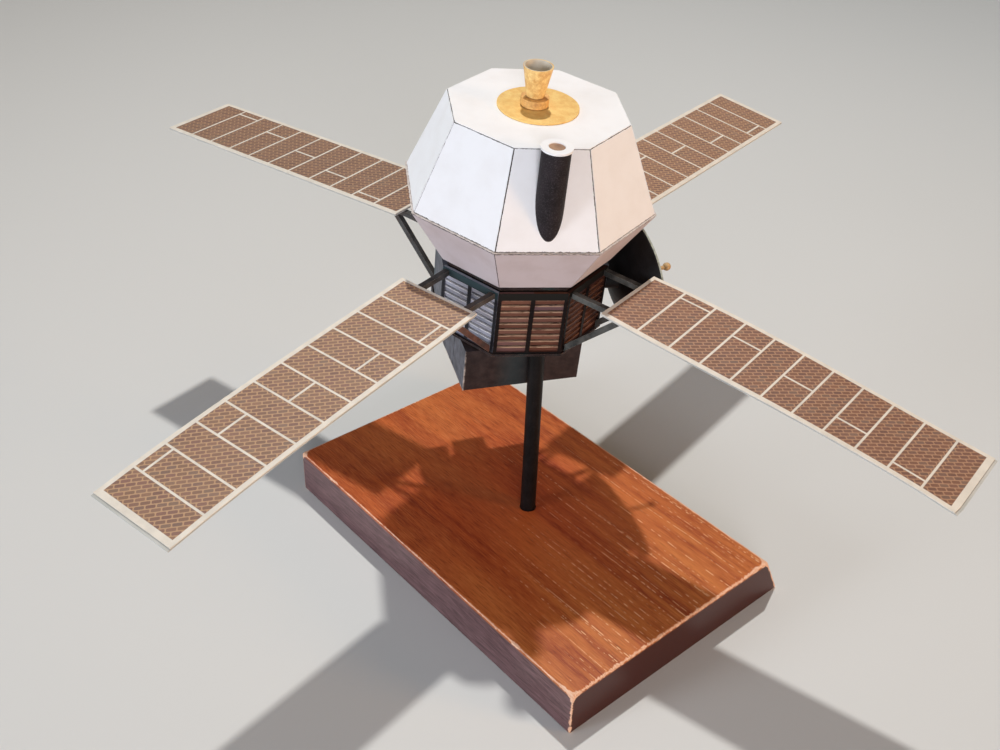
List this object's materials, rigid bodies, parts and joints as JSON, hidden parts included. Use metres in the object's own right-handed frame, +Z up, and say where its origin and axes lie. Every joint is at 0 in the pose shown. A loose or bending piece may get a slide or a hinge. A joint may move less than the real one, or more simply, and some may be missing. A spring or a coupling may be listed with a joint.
{
  "type": "card model spacecraft on wooden plinth",
  "caption": "Glued card display model of an eight-sided orbiting spacecraft with long solar panels, on a rod in a wooden plinth.",
  "frame": {"origin": "on the floor under the middle of the rod, in the plane of the plinth's underside", "axes": "+Z up, square to the plinth; the craft's front bay faces -Y and its dish is on +X; the plinth's long side is turned 57 degrees clockwise from +X seen from above"},
  "size_m": [0.2431, 0.2411, 0.1715],
  "materials": {
    "board_wood": "reddish stained wood, satin, with pale worn edges",
    "rod_black": "dowel painted satin black",
    "dome_card": "plain white card, matt, with folded and cut edges",
    "gold_card": "gold-printed card, slightly glossy",
    "tube_black": "black rolled card, matt",
    "bus_dark_card": "near-black card",
    "louvre_card": "dark brown card strips with pale cut edges",
    "plain_bay_card": "grey-blue card",
    "panel_card": "printed card, brown cells with tan lines and a cream border",
    "beam_card": "folded dark grey card",
    "dish_card": "black card with a pale cut rim",
    "feed_bead": "tan bead on a thin stem",
    "platform_card": "brown-black card"
  },
  "bodies": {
    "root": {"antenna_cap": "dome_card", "antenna_tube": "tube_black", "arm_front_left_ccw": "beam_card", "arm_front_left_cw": "beam_card", "arm_front_right_ccw": "beam_card", "arm_front_right_cw": "beam_card", "arm_rear_left_ccw": "beam_card", "arm_rear_left_cw": "beam_card", "arm_rear_right_ccw": "beam_card", "arm_rear_right_cw": "beam_card", "bay_front": "louvre_card", "bay_front_left": "louvre_card", "bay_front_right": "louvre_card", "bay_left": "plain_bay_card", "bay_rear": "louvre_card", "bay_rear_left": "louvre_card", "bay_rear_right": "louvre_card", "bay_right": "plain_bay_card", "brace_front_left_ccw": "beam_card", "brace_front_left_cw": "beam_card", "brace_front_right_ccw": "beam_card", "brace_front_right_cw": "beam_card", "brace_rear_left_ccw": "beam_card", "brace_rear_left_cw": "beam_card", "brace_rear_right_ccw": "beam_card", "brace_rear_right_cw": "beam_card", "bus_core": "bus_dark_card", "bus_foot_plate": "bus_dark_card", "dish_feed": "feed_bead", "dish_hub": "bus_dark_card", "dish_reflector": "dish_card", "dome_cover": "dome_card", "dome_skirt": "dome_card", "gold_disc": "gold_card", "instrument_narrow": "bus_dark_card", "instrument_wide": "bus_dark_card", "nozzle_bell": "gold_card", "nozzle_collar": "gold_card", "panel_front_left": "panel_card", "panel_front_right": "panel_card", "panel_rear_left": "panel_card", "panel_rear_right": "panel_card", "platform_front": "platform_card", "platform_rear": "platform_card", "plinth": "board_wood", "support_rod": "rod_black"}
  },
  "joints": []
}
